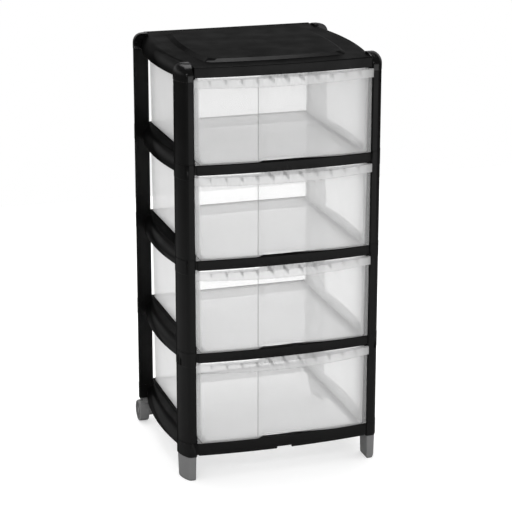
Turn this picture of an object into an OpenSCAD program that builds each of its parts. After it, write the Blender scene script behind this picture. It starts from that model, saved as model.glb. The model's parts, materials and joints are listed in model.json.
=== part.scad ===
// Free-standing storage tower: four pull-out drawers in a frame of corner posts and moulded
// shelf frames, on two front feet and two rear castors. Millimetres, +Z up, front towards -Y.
// Origin: on the floor, under the middle of the tower's overall box.

/* [Overall] */
// Height of one drawer tier, from collar to collar
tier_h = 180; // [150:1:230]
// Clear width between the left and right posts
opening_w = 340; // [300:1:420]
// Depth of the frame, over the front and rear posts
frame_d = 366; // [300:1:460]
// Height of the base frame above the floor
foot_h = 48; // [48:1:70]

/* [Corner posts] */
// Width of a post, seen from the front
post_w = 28; // [24:0.5:36]
// Depth of a post, seen from the side
post_d = 40; // [34:0.5:50]
// Radius of the long curve round a post's outer side
post_side_r = 66; // [60:1:120]
// Radius of a post's front nose
post_nose_r = 9; // [8:0.5:11]
// Radius of a post's inner front edge
post_inner_r = 3; // [1:0.5:5]
// Wall of a post tube
post_wall = 2.4; // [1.8:0.1:3]
// How far a collar stands proud of the posts
collar_step = 0.4; // [0.2:0.1:1]
// Height of the collar at each corner of a shelf frame
collar_h = 28; // [28:0.5:40]
// Length of the plugs that enter the post tubes
plug_len = 16; // [8:1:30]
// Wall of a plug
plug_wall = 1.8; // [1.4:0.1:2.2]

/* [Shelf frames] */
// Underside of a front rail above its collar's lower edge
rail_z = 7.2; // [5:0.1:9]
// Height of a front rail
rail_h = 19.1; // [14:0.1:20.5]
// Depth of a front or rear rail
rail_d = 12; // [9:0.5:16]
// Wall of the rails
rail_wall = 2.4; // [1.8:0.1:3.2]
// Chamfer along a rail's upper front edge
rail_edge = 1.4; // [0.4:0.1:1.8]
// How far a front rail bows out at its middle
front_bow = 10.7; // [4:0.1:16]
// Width of the neck beside each collar of a front rail
neck_w = 4; // [1:0.5:8]
// How far that neck is drawn in
neck_in = 1.2; // [0.4:0.1:2]
// How far the front rails are set back from the posts' front
rail_set = 1; // [0.5:0.5:2]
// How far the rear rails are set in from the frame's rear face
rear_set = 4; // [2:0.5:8]
// How far a side rail bows out at its middle
side_bow = 15; // [6:0.5:17]
// Underside of a side rail above its collar's lower edge
side_z = 1.4; // [0.5:0.1:1.6]
// Height of a side rail
side_h = 26; // [20:0.5:26]
// Width of the rounded shoulder on a side rail
side_shoulder = 17; // [12:0.5:18]
// Height of the upright foot below that shoulder
side_foot = 4; // [2:0.5:8]
// How far a side rail reaches inside the posts' inner faces
side_inset = 4.5; // [2:0.5:5]
// How far a runner ledge reaches in from the posts' inner faces
ledge_w = 21; // [18:0.5:30]
// Thickness of a runner ledge
ledge_t = 2.5; // [2:0.1:4]
// Underside of the base frame's front rail above its collar's lower edge
base_rail_z = 1.8; // [1:0.1:5]
// Width of the notch under the base frame's front rail
notch_w = 29; // [10:1:60]
// Height of that notch
notch_h = 3.8; // [1:0.1:8]

/* [Top panel] */
// Thickness of the top plate
top_t = 2.4; // [2:0.1:4]
// Step from the rails' top down to the top plate
top_sink = 0.1; // [0.1:0.05:1]
// Rise of the plateau above the plate
plateau_rise = 4.5; // [2:0.1:7]
// Width of the bevel round the plateau
plateau_bevel = 9; // [4:0.5:14]
// Width of the plate's border at each side of the plateau
plateau_side = 51; // [40:1:80]
// Width of the plate's border in front of and behind the plateau
plateau_end = 31; // [24:1:60]
// How far the plateau's sides bow out
plateau_bow = 13; // [4:1:20]
// Corner radius of the plateau
plateau_r = 18; // [8:1:30]
// Diameter of the moulding mark in the middle of the plateau
gate_d = 5; // [3:0.5:10]
// Depth of that mark
gate_t = 0.3; // [0.2:0.1:0.8]
// Rise of a corner cap above the top plate
cap_rise = 3.3; // [2:0.1:5]
// Height over which a corner cap rounds off to its outer side and front
cap_round_h = 18.6; // [12:0.2:20]
// Share of a cap's width that its rounding leaves flat on top
cap_flat_w = 0.45; // [0.3:0.05:0.7]
// Share of its depth
cap_flat_d = 0.25; // [0.2:0.05:0.7]
// Wall of a corner cap
cap_wall = 1.4; // [1:0.1:2]
// Thickness of the lugs that the caps hold down
lug_t = 3; // [2:0.5:5]

/* [Drawers] */
// Wall of a drawer
drawer_wall = 2; // [1.5:0.1:3]
// Thickness of a drawer's front panel
panel_t = 2.4; // [1.8:0.1:3.2]
// How far a drawer's side stands in from the post, at its floor
drawer_side_gap = 8.5; // [8.5:0.5:12]
// How far a drawer's back leans out from floor to rim
drawer_draft = 3; // [1:0.5:3.5]
// How far its sides lean out
side_draft = 1.5; // [0.5:0.5:2]
// Radius of a drawer's upright corners
drawer_corner_r = 5; // [5:1:20]
// Width of the chamfer along a drawer's lower edges
drawer_chamfer = 4; // [3:0.5:4.5]
// Gap between a drawer's back and the frame's rear face
drawer_back_gap = 18; // [18:1:60]
// Clear gap between a drawer and the rail above it
drawer_top_gap = 2.5; // [2:0.1:6]
// Width of the rolled rim round a drawer
rim_w = 1.5; // [0.5:0.5:2]
// Depth of the hollow in a drawer's front panel
hollow_d = 15; // [5:0.5:18]
// Place of the crease where that hollow starts, from the drawer's middle
hollow_x = -52; // [-80:1:-30]
// Width over which the hollow steps back from the crease
hollow_step = 26; // [12:1:40]
// Place where the hollow runs out, from the drawer's middle
hollow_end = 112; // [60:1:130]
// How far the handle lip stands out at its middle, from the posts' front
lip_out = 30; // [22:0.5:45]
// How far the handle lip laps over each post
lip_lap = 1; // [0.5:0.5:3]
// Height of the handle lip
lip_h = 15.5; // [10:0.5:24]
// Wall of the handle lip
lip_t = 2; // [1.5:0.1:3]
// Number of gusset ribs behind the handle lip
lip_ribs = 11; // [3:1:15]
// Height of those ribs
rib_h = 8; // [4:0.5:9]
// Thickness of those ribs
rib_t = 1.4; // [1:0.1:2]
// Width of the stop tabs on a drawer's back
stop_w = 16; // [8:1:40]
// Distance of the stop tabs from the drawer's middle
stop_x = 105; // [60:1:120]
// Height of the stop tabs above the rim
stop_h = 5.5; // [4:0.5:7]

/* [Feet and castors] */
// Draw-in of a front foot at the floor, all round
foot_taper = 2; // [1:0.5:6]
// Height of the rounding round a foot's sole
foot_round = 3; // [1:0.5:6]
// Diameter of a castor wheel
wheel_d = 43.6; // [34:0.2:44]
// Width of a castor wheel
wheel_w = 18.6; // [14:0.2:20]
// How far a wheel stands out past the posts
wheel_out = 4.4; // [2:0.2:8]
// Distance of the wheel's axis from the frame's rear face
wheel_back = 39; // [34:0.5:46]
// Depth of the dish in a wheel's outer face
dish_d = 3; // [2:0.5:5]
// Width of the rim round that dish
rim_wide = 4.5; // [3:0.5:6]
// Rounding along a wheel's edges
wheel_edge = 1.5; // [0.5:0.5:2.5]
// Crown of a wheel's tread
wheel_crown = 0.4; // [0.2:0.1:1]
// Wall of a wheel's hub round the axle's head
hub_wall = 2; // [1:0.5:3]
// Width of the groove round the hub on a wheel's inner face
hub_groove = 3; // [2:0.5:5]
// Diameter of a castor axle
axle_d = 6; // [4:0.5:8]
// Diameter of an axle's head
axle_head_d = 10; // [9:0.5:13]
// Thickness of a castor bracket's leg
leg_t = 10; // [7:0.5:10]
// Radius of the boss round the axle on that leg
boss_r = 12; // [9:0.5:14]
// Wall of the guard over a wheel
guard_t = 2.2; // [1.6:0.1:2.4]

/* [Fits] */
// Sliding gap under and around moving pieces
slide_gap = 0.3; // [0.3:0.05:0.5]
// Gap round plugs and lugs
plug_gap = 0.25; // [0.2:0.05:0.4]
// Parting line between the top panel and its corner caps
seam_gap = 0.3; // [0.2:0.05:0.5]
// Running gap round an axle in its wheel
bore_gap = 0.2; // [0.15:0.05:0.4]
// Gap between a wheel and its bracket
wheel_gap = 1.5; // [1:0.1:1.8]

/* [Hidden] */
$fn = 64;

// Finishes
black = [0.12, 0.12, 0.13];
gloss_black = [0.07, 0.07, 0.08];
frosted = [0.88, 0.89, 0.9, 0.6];
grey = [0.5, 0.51, 0.52];

// Sides and ends of the tower
LEFT = -1;
RIGHT = 1;
FRONT = -1;
REAR = 1;

// Overall places
tiers = 4;
half_open = opening_w / 2;
half_w = half_open + post_w;
front_y = (lip_out - frame_d - collar_step) / 2;
rear_y = front_y + frame_d;
mid_y = (front_y + rear_y) / 2;
top_z = foot_h + tiers * tier_h;
thin = 0.01;
past = 1;
nose_out = 0.05;

// Fits in the post tubes, as inward growths of the post section
plug_fit = post_wall + plug_gap;
core_fit = plug_fit + plug_wall;
pin_fit = core_fit + plug_gap;

// Rails
rail_top = rail_z + rail_h;
rail_front_y = front_y + rail_set;
rear_rail_y = rear_y - rail_d - rear_set;
side_half = frame_d / 2 - post_d;
seam_in = collar_step / 2;
panel_gap = collar_step + seam_gap;
panel_half = half_open - panel_gap;
panel_side_half = side_half - panel_gap;

// Level of the collar's lower edge on the frame under a tier, the top tier being 1
function seat_z(tier) = foot_h + (tiers - tier) * tier_h;
// Radius of an arc from its half chord and its rise
function arc_r(half, rise) = (half * half + rise * rise) / (2 * rise);
// Rise of that arc above its chord, at a distance from its middle
function arc_rise(x, half, rise) =
    sqrt(pow(arc_r(half, rise), 2) - x * x) - arc_r(half, rise) + rise;
function flip(list) = [for (i = [len(list) - 1 : -1 : 0]) list[i]];

// ---- Corner sections ----

// Section of a post: outer side along x = 0, front along y = 0, grown all round by g.
// The long side curve runs into the nose circle almost at a tangent: the circle stands out
// by a hair, so that the two curves cross at one clear edge.
module post_section(g = 0) {
    reach = post_side_r - post_nose_r + nose_out;
    nose_x = post_side_r - sqrt(pow(reach, 2) - pow(post_d - post_nose_r, 2));
    side_c = [post_side_r, post_d];
    nose_c = [nose_x, post_nose_r];
    away = side_c + (nose_c - side_c) * 1.5;
    inner_r = max(post_inner_r + g, 0.5);
    inner_x = post_w + g;
    back_y = post_d + g;
    intersection() {
        union() {
            intersection() {
                translate(side_c) circle(r = post_side_r + g, $fn = 128);
                polygon([side_c, away, [away[0] - post_w, away[1]],
                         [away[0] - post_w, back_y], [side_c[0], back_y]]);
            }
            translate(nose_c) circle(r = post_nose_r + g);
            translate([nose_x, -g]) square([inner_x - inner_r - nose_x, back_y + g]);
            translate([nose_x, inner_r - g]) square([inner_x - nose_x, back_y + g - inner_r]);
            translate([inner_x - inner_r, inner_r - g]) circle(r = inner_r, $fn = 32);
        }
        translate([-g - past, -g - past]) square([inner_x + g + past, back_y + g + past]);
    }
}

module section_bar(z, h, g) {
    translate([0, 0, z]) linear_extrude(h) post_section(g);
}

// Puts a piece drawn at the front left corner in any corner
module at_corner(side, end) {
    translate([side * half_w, end == FRONT ? front_y : rear_y, 0])
        mirror([side == RIGHT ? 1 : 0, 0, 0])
            mirror([0, end == REAR ? 1 : 0, 0])
                children();
}

module on_side(side) {
    mirror([side == RIGHT ? 1 : 0, 0, 0]) children();
}

// Tube between two collars
module post(tier, side, end) {
    low = seat_z(tier) + collar_h;
    high = seat_z(tier - 1);
    color(black) at_corner(side, end) difference() {
        section_bar(low, high - low, 0);
        section_bar(low - past, high - low + 2 * past, -post_wall);
    }
}

// Corner of a shelf frame: a collar with a plug into the tube above and one below
module collar(z, plug_below) {
    difference() {
        union() {
            section_bar(z, collar_h, collar_step);
            section_bar(z - plug_below, collar_h + plug_len + plug_below, -plug_fit);
        }
        section_bar(z - plug_below - past, collar_h + plug_len + plug_below + 2 * past, -core_fit);
    }
}

// ---- Rails ----

// Channel section, open below; x runs inwards from the outer face
function channel(z, h, depth) = [
    [0, z], [0, z + h - rail_edge], [rail_edge, z + h], [depth, z + h], [depth, z],
    [depth - rail_wall, z], [depth - rail_wall, z + h - rail_wall],
    [rail_wall, z + h - rail_wall], [rail_wall, z],
];

// Section swept along an arc in plan and cut to a half length. Its outer face runs
// through y = 0 at the half chord and stands out by the rise in the middle.
module bowed_bar(half, rise, cut, points) {
    r = arc_r(half, rise);
    sweep = 2 * asin((cut + 10) / r);
    intersection() {
        translate([0, r - rise, 0]) rotate([0, 0, 270 - sweep / 2])
            rotate_extrude(angle = sweep, $fn = 360)
                polygon([for (p = points) [r - p[0], p[1]]]);
        translate([-cut, -rise - past, 0]) cube([2 * cut, rise + post_w + post_d, 2 * top_z]);
    }
}

// Front rail, which necks down beside the collars
module front_rail(z, h) {
    translate([0, rail_front_y, 0]) {
        bowed_bar(half_open, front_bow, half_open - neck_w, channel(z, h, rail_d));
        bowed_bar(half_open, front_bow, half_open + seam_in,
                  [for (p = channel(z + neck_in, h - 2 * neck_in, rail_d - 2 * neck_in))
                      p + [neck_in, 0]]);
    }
}

module rear_rail(z, h, half) {
    translate([-half, rear_rail_y, z]) difference() {
        cube([2 * half, rail_d, h]);
        translate([-past, rail_wall, -past])
            cube([2 * half + 2 * past, rail_d - 2 * rail_wall, h - rail_wall + past]);
    }
}

// Outer or inner face of a side rail: an upright foot, then a quarter ellipse to the top
function shoulder(x, z, w, h) = [
    for (a = [0 : 9 : 90]) [x + w * (1 - cos(a)), z + side_foot + (h - side_foot) * sin(a)],
];
function side_section(z, h, depth) = concat(
    [[0, z]],
    shoulder(0, z, side_shoulder, h),
    [[depth, z + h], [depth, z + h - rail_wall]],
    flip(shoulder(rail_wall, z, side_shoulder - rail_wall, h - rail_wall)),
    [[rail_wall, z]]
);
function side_filled(z, h, depth) = concat(
    [[0, z]], shoulder(0, z, side_shoulder, h), [[depth, z + h], [depth, z]]
);

// Left rail's bow, from the front corner to the rear one, cut off at the straight inner face
module side_bar(cut, points) {
    intersection() {
        translate([side_bow - half_w, mid_y, 0]) rotate([0, 0, -90])
            bowed_bar(side_half, side_bow, cut, points);
        translate([-half_w - past, front_y, 0])
            cube([half_w + past - half_open + side_inset, frame_d, 2 * top_z]);
    }
}

module side_rail(side, z, h, cut) {
    on_side(side) {
        side_bar(cut, side_section(z, h, post_w + side_inset + past));
        translate([side_inset - half_open - rail_wall, mid_y - cut, z])
            cube([rail_wall, 2 * cut, h]);
    }
}

// Ledge that a drawer's floor slides on, a hair below the rails' top
module ledge(side, z) {
    start_y = rail_front_y + rail_d - rail_wall - past / 2;
    on_side(side) translate([side_inset - half_open - past, start_y, z + rail_top - ledge_t - seam_in])
        cube([ledge_w - side_inset + past, rear_rail_y + past - start_y, ledge_t]);
}

// ---- Shelf frames ----

// What the shelf frames and the base frame share
module frame_ring(z, plug_below) {
    for (side = [LEFT, RIGHT]) {
        for (end = [FRONT, REAR]) at_corner(side, end) collar(z, plug_below);
        side_rail(side, z + side_z, side_h, side_half + seam_in);
        ledge(side, z);
    }
    rear_rail(z + rail_z, rail_h, half_open + seam_in);
}

module shelf_frame(tier) {
    color(black) {
        frame_ring(seat_z(tier), plug_len);
        front_rail(seat_z(tier) + rail_z, rail_h);
    }
}

module base_frame() {
    z = seat_z(tiers);
    color(black) {
        frame_ring(z, 0);
        difference() {
            front_rail(z + base_rail_z, rail_top - base_rail_z);
            translate([-notch_w / 2, front_y - front_bow - past, z])
                cube([notch_w, front_bow + rail_wall + 2 * past, base_rail_z + notch_h]);
        }
    }
}

// ---- Top ----

// Disc whose rim passes the middle at a given reach, on the left side before it is turned
module wide_disc(reach, r, turn) {
    rotate(turn) translate([r - reach, 0]) circle(r = r, $fn = 360);
}

// Plateau's outline: bowed sides and front, straight back, round corners, drawn in by d
module plateau_outline(d) {
    half_x = half_w - plateau_side - d;
    half_y = frame_d / 2 - plateau_end - d;
    back = half_y - front_bow / 2;
    translate([0, mid_y])
        offset(r = plateau_r) offset(delta = -plateau_r) intersection() {
            wide_disc(half_x, arc_r(half_y, plateau_bow), 0);
            wide_disc(half_x, arc_r(half_y, plateau_bow), 180);
            wide_disc(half_y, arc_r(half_x, front_bow), 90);
            translate([-half_x, -half_y]) square([2 * half_x, half_y + back]);
        }
}

module plateau(z) {
    hull() {
        translate([0, 0, z - thin]) linear_extrude(thin) plateau_outline(0);
        translate([0, 0, z + plateau_rise - thin]) linear_extrude(thin) plateau_outline(plateau_bevel);
    }
}

// Outline of the top plate, which ends inside the rails round it: the wide strips between the
// left and right caps, and the narrower one between the front and rear caps
module plate_outline() {
    front_in = rail_d / 2;
    back_y = rear_rail_y + rail_d / 2;
    between = half_open - side_inset + seam_in;
    intersection() {
        translate([0, rail_front_y])
            wide_disc(front_bow - front_in, arc_r(half_open, front_bow) - front_in, 90);
        union() {
            for (end = [FRONT, REAR])
                translate([-panel_half, end == FRONT ? front_y - front_bow : rear_y - post_d])
                    square([2 * panel_half, end == FRONT ? post_d + front_bow : back_y - rear_y + post_d]);
            translate([-between, front_y]) square([2 * between, back_y - front_y]);
        }
    }
}

// Lug that rests on a post's end under its cap, with a plug into the post
module lug() {
    difference() {
        union() {
            section_bar(top_z, lug_t, collar_step - cap_wall - plug_gap);
            section_bar(top_z - plug_len, plug_len + lug_t, -plug_fit);
            translate([post_w / 2, post_d / 4, top_z])
                cube([post_w / 2 + panel_gap + past, post_d / 2, lug_t]);
            translate([post_w * 0.6, post_d / 2, top_z])
                cube([post_w * 0.3, post_d / 2 + panel_gap + past, lug_t]);
        }
        section_bar(top_z - plug_len - past, plug_len + lug_t + 2 * past, -core_fit);
    }
}

// Walls that close the top panel beside a cap
module end_walls() {
    low_x = side_bow + side_shoulder / 2;
    start_y = rail_set + panel_t + slide_gap;
    translate([post_w + panel_gap + seam_in, start_y, top_z])
        cube([rail_wall, post_d + panel_gap + rail_wall - start_y, rail_top - top_sink - top_t / 2]);
    translate([low_x, post_d + panel_gap, top_z])
        cube([post_w - low_x + panel_gap + rail_wall, rail_wall, lug_t]);
}

module top_panel() {
    z = top_z + rail_top;
    plate_z = z - top_sink;
    color(black) difference() {
        union() {
            translate([0, 0, plate_z - top_t]) linear_extrude(top_t) plate_outline();
            plateau(plate_z);
            translate([0, rail_front_y, 0])
                bowed_bar(half_open, front_bow, panel_half, channel(top_z + rail_z, rail_h, rail_d));
            rear_rail(top_z + rail_z, rail_h, panel_half);
            for (side = [LEFT, RIGHT]) {
                side_rail(side, z - side_h, side_h, panel_side_half);
                for (end = [FRONT, REAR]) at_corner(side, end) {
                    lug();
                    end_walls();
                }
                on_side(side) for (end = [FRONT, REAR]) intersection() {
                    side_bar(panel_side_half, side_filled(z - side_h, side_h, post_w));
                    translate([-half_w, mid_y - rail_wall / 2
                                   + end * (panel_side_half - seam_in - rail_wall / 2), top_z])
                        cube([half_w, rail_wall, rail_top]);
                }
            }
        }
        plateau(plate_z - top_t);
        translate([0, mid_y, plate_z + plateau_rise - gate_t]) cylinder(d = gate_d, h = past);
    }
}

// Slice of a cap, drawn in by d and shrunk towards its inner rear corner
module cap_slice(z, share_x, share_y, d) {
    corner = [post_w + collar_step, post_d + collar_step];
    translate([corner[0], corner[1], z - thin]) scale([share_x, share_y, 1])
        translate([-corner[0], -corner[1], 0]) linear_extrude(thin) post_section(collar_step - d);
}

// Solid under a cap's top, drawn in by d: a quarter ellipse from the upright outer side and
// front to the flat spot at the inner rear corner
module cap_dome(d) {
    round_z = top_z + rail_top + cap_rise - cap_round_h;
    hull() {
        cap_slice(top_z - plug_len - past, 1, 1, d);
        for (a = [0 : 15 : 90])
            cap_slice(round_z + (cap_round_h - d) * sin(a), 1 - (1 - cap_flat_w) * (1 - cos(a)),
                      1 - (1 - cap_flat_d) * (1 - cos(a)), d);
    }
}

// Hollow cap over a post's end, with a pin that holds down the top panel's lug
module corner_cap(side, end) {
    high = rail_top + cap_rise;
    slot = lug_t + plug_gap;
    color(gloss_black) at_corner(side, end) {
        difference() {
            intersection() {
                translate([-past, -past, top_z]) cube([post_w + 2 * past, post_d + 2 * past, high]);
                cap_dome(0);
            }
            cap_dome(cap_wall);
            translate([post_w - cap_wall, post_d / 4 - plug_gap, top_z - past])
                cube([2 * cap_wall + past, post_d / 2 + 2 * plug_gap, slot + past]);
            translate([post_w * 0.6 - plug_gap, post_d - cap_wall, top_z - past])
                cube([post_w * 0.3 + 2 * plug_gap, 2 * cap_wall + past, slot + past]);
        }
        difference() {
            intersection() {
                section_bar(top_z - plug_len / 2, high + plug_len / 2, -pin_fit);
                cap_dome(cap_wall / 2);
            }
            intersection() {
                section_bar(top_z - plug_len, high + plug_len, -pin_fit - cap_wall);
                cap_dome(cap_wall);
            }
        }
    }
}

// ---- Drawers ----

drawer_half = half_open - drawer_side_gap;
front_half = half_open - 4 * slide_gap;
lip_half = half_open + lip_lap;
lip_end = lip_t + 2 * slide_gap;
hollow_deep = hollow_x + hollow_step;
function floor_z(tier) = seat_z(tier) + rail_top + slide_gap;
function rim_z(tier) = seat_z(tier) + tier_h + rail_z - drawer_top_gap;

// Depth of the hollow at a place across the front: sharp at the crease, smooth where it ends
function hollow(x) =
    x <= hollow_x || x >= hollow_end ? 0
    : x < hollow_deep ? hollow_d * sin(90 * (x - hollow_x) / hollow_step)
    : hollow_d * pow(cos(90 * (x - hollow_deep) / (hollow_end - hollow_deep)), 2);
function front_at(x) = rail_front_y - arc_rise(x, half_open, front_bow) + hollow(x);
function lip_at(x) = front_y - lip_end - arc_rise(x, lip_half, lip_out - lip_end);

// Places across the front: even steps on each side of the hollow, closer steps in it
front_x = concat(
    [for (i = [0 : 9]) -front_half + i * (front_half + hollow_x) / 10],
    [for (i = [0 : 7]) hollow_x + i * hollow_step / 8],
    [for (i = [0 : 14]) hollow_deep + i * (hollow_end - hollow_deep) / 15],
    [for (i = [0 : 5]) hollow_end + i * (front_half - hollow_end) / 5]
);
front_line = [for (x = front_x) [x, front_at(x)]];
lip_line = [for (x = front_x) [x * lip_half / front_half, lip_at(x * lip_half / front_half)]];
function moved(line, y) = [for (p = line) [p[0], p[1] + y]];

// Plan of a drawer's box, open at the front
module box_plan(half, back, r) {
    start = front_y - front_bow - past;
    translate([-half, start]) square([2 * half, back - r - start]);
    translate([r - half, start]) square([2 * (half - r), back - start]);
    for (side = [LEFT, RIGHT]) translate([side * (half - r), back - r]) circle(r = r, $fn = 32);
}

module box_slab(z, h, half, back, r) {
    translate([0, 0, z]) linear_extrude(h) box_plan(half, back, r);
}

// Solid block of a drawer's box, drawn in by d: chamfered along its lower edges, leaning out
// to the rim, and upright from there up
module box_block(low, high, d) {
    back = rear_y - drawer_back_gap - drawer_draft;
    edge = drawer_chamfer + d * (sqrt(2) - 1);
    hull() {
        box_slab(low + d, thin, drawer_half - edge, back - edge, drawer_corner_r - drawer_chamfer);
        box_slab(low + edge, thin, drawer_half - d, back - d, drawer_corner_r - d);
        box_slab(high - thin, thin + d, drawer_half + side_draft - d, back + drawer_draft - d,
                 drawer_corner_r - d);
    }
}

module drawer(tier) {
    low = floor_z(tier);
    high = rim_z(tier);
    back = rear_y - drawer_back_gap;
    rim_half = drawer_half + side_draft;
    color(frosted) {
        // Box, cut off at the front panel
        intersection() {
            difference() {
                union() {
                    box_block(low, high, 0);
                    box_slab(high - lip_t, lip_t, rim_half + rim_w, back + rim_w,
                             drawer_corner_r + rim_w);
                }
                box_block(low, high, drawer_wall);
            }
            translate([0, 0, low - past]) linear_extrude(high - low + 2 * past)
                polygon(concat(moved(front_line, panel_t / 2),
                               [[front_half, rear_y], [-front_half, rear_y]]));
        }
        // Front panel, with the crease and the hollow
        translate([0, 0, low]) linear_extrude(high - low)
            polygon(concat(front_line, flip(moved(front_line, panel_t))));
        // Handle lip: a shelf, a bowed skirt and the gusset ribs between them
        translate([0, 0, high - lip_t]) linear_extrude(lip_t)
            polygon(concat(moved(lip_line, lip_t / 2), flip(moved(front_line, panel_t / 2))));
        translate([0, 0, high - lip_h]) linear_extrude(lip_h)
            polygon(concat(lip_line, flip(moved(lip_line, lip_t))));
        for (i = [1 : lip_ribs]) {
            x = lip_half * (2 * i / (lip_ribs + 1) - 1);
            translate([x - rib_t / 2, lip_at(x) + lip_t / 2, high - lip_t / 2 - rib_h])
                cube([rib_t, front_at(x) - lip_at(x), rib_h]);
        }
        // Stop tabs, which meet the back of the rail above at full travel
        for (side = [LEFT, RIGHT])
            translate([side * stop_x - stop_w / 2, back - drawer_wall, high - lip_t])
                cube([stop_w, drawer_wall, stop_h + lip_t]);
    }
}

// ---- Feet and castors ----

module corner_plug() {
    section_bar(foot_h - past, plug_len + past, -pin_fit);
}

module front_foot(side) {
    color(grey) at_corner(side, FRONT) {
        hull() {
            section_bar(foot_h - thin, thin, -seam_gap * 3);
            section_bar(foot_round, thin, -foot_taper);
            section_bar(0, thin, -foot_taper - foot_round / 3);
        }
        corner_plug();
    }
}

wheel_r = wheel_d / 2;
wheel_y = rear_y - wheel_back;
wheel_x = -half_w - wheel_out;
leg_x = wheel_x + wheel_w + wheel_gap;

// Turns a piece drawn along z to lie along x, at the left wheel's axis
module at_axle(x) {
    translate([x, wheel_y, wheel_r]) rotate([0, 90, 0]) children();
}

// Bracket under a rear corner: a plate and plug, a leg for the axle and a guard over the wheel
module castor_bracket(side) {
    plate_t = foot_h - wheel_d - past;
    leg_top = foot_h - plate_t / 2;
    color(grey) on_side(side) {
        difference() {
            union() {
                at_corner(LEFT, REAR) section_bar(foot_h - plate_t, plate_t, -seam_gap * 3);
                translate([leg_x, wheel_y - boss_r, wheel_r])
                    rotate([90, 0, 90]) linear_extrude(leg_t) polygon([
                        [0, 0], [2 * boss_r, 0],
                        [wheel_back + boss_r - 5, leg_top - wheel_r],
                        [wheel_back + boss_r - post_d + 2, leg_top - wheel_r],
                    ]);
                at_axle(leg_x) cylinder(r = boss_r, h = leg_t);
                intersection() {
                    at_axle(leg_x - wheel_w / 2)
                        cylinder(r = wheel_r + wheel_gap + guard_t, h = wheel_w / 2 + past);
                    translate([-half_w, wheel_y - wheel_r * 0.6, wheel_r + boss_r])
                        cube([half_w, wheel_r * 1.6 + wheel_gap + guard_t, foot_h - wheel_r - boss_r - seam_gap]);
                }
            }
            at_axle(wheel_x - past)
                cylinder(r = wheel_r + wheel_gap, h = wheel_w + wheel_gap + past);
            at_axle(wheel_x) cylinder(d = axle_d, h = wheel_w + wheel_gap + leg_t + past);
        }
        at_corner(LEFT, REAR) corner_plug();
    }
}

// Axle through the bracket's leg, with its head in the wheel's dish
module castor_axle(side) {
    head_x = wheel_x + dish_d - slide_gap;
    color(grey) on_side(side) {
        at_axle(head_x) cylinder(d = axle_d, h = leg_x + leg_t - head_x);
        at_axle(head_x - dish_d / 2) cylinder(d = axle_head_d, h = dish_d / 2);
    }
}

// Wheel: crowned tread, dished outer face with a raised hub, shallow recess inside
module castor_wheel(side) {
    rim = wheel_r - rim_wide;
    hub = axle_head_d / 2 + hub_wall;
    edge = wheel_r - wheel_edge;
    crown = wheel_r - wheel_crown;
    color(grey) on_side(side) at_axle(wheel_x) difference() {
        rotate_extrude() polygon([
            [0, dish_d], [rim, dish_d], [rim + wheel_edge, 0], [edge, 0],
            [crown, wheel_edge], [wheel_r, wheel_w / 2], [crown, wheel_w - wheel_edge],
            [edge, wheel_w], [hub + hub_groove, wheel_w], [hub + hub_groove, wheel_w - hub_wall],
            [hub, wheel_w - hub_wall], [hub, wheel_w], [0, wheel_w],
        ]);
        translate([0, 0, -past]) cylinder(d = axle_d + 2 * bore_gap, h = wheel_w + 2 * past);
    }
}

top_panel();
corner_cap(LEFT, FRONT);  // corner_cap_front_left
corner_cap(RIGHT, FRONT);  // corner_cap_front_right
corner_cap(LEFT, REAR);  // corner_cap_rear_left
corner_cap(RIGHT, REAR);  // corner_cap_rear_right
shelf_frame(1);  // shelf_frame_1
shelf_frame(2);  // shelf_frame_2
shelf_frame(3);  // shelf_frame_3
base_frame();
post(1, LEFT, FRONT);  // post_1_front_left
post(1, RIGHT, FRONT);  // post_1_front_right
post(1, LEFT, REAR);  // post_1_rear_left
post(1, RIGHT, REAR);  // post_1_rear_right
post(2, LEFT, FRONT);  // post_2_front_left
post(2, RIGHT, FRONT);  // post_2_front_right
post(2, LEFT, REAR);  // post_2_rear_left
post(2, RIGHT, REAR);  // post_2_rear_right
post(3, LEFT, FRONT);  // post_3_front_left
post(3, RIGHT, FRONT);  // post_3_front_right
post(3, LEFT, REAR);  // post_3_rear_left
post(3, RIGHT, REAR);  // post_3_rear_right
post(4, LEFT, FRONT);  // post_4_front_left
post(4, RIGHT, FRONT);  // post_4_front_right
post(4, LEFT, REAR);  // post_4_rear_left
post(4, RIGHT, REAR);  // post_4_rear_right
drawer(1);  // drawer_1
drawer(2);  // drawer_2
drawer(3);  // drawer_3
drawer(4);  // drawer_4
front_foot(LEFT);  // front_foot_left
front_foot(RIGHT);  // front_foot_right
castor_bracket(LEFT);  // castor_bracket_left
castor_bracket(RIGHT);  // castor_bracket_right
castor_axle(LEFT);  // castor_axle_left
castor_axle(RIGHT);  // castor_axle_right
castor_wheel(LEFT);  // castor_wheel_left
castor_wheel(RIGHT);  // castor_wheel_right
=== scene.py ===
"""Looks of a free-standing storage tower: frosted drawers in a black plastic frame.

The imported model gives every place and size. The frame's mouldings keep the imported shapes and
get smooth, soft-edged skins; the drawers and the castor wheels are modelled here in full.
Lengths are in metres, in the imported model's frame: +Z up, the drawers open towards -Y.
"""

import json
import logging
import math
from dataclasses import dataclass
from enum import Enum
from typing import Any, Callable, Iterable, Sequence

import bmesh
import bpy
from mathutils import Matrix, Vector

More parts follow.
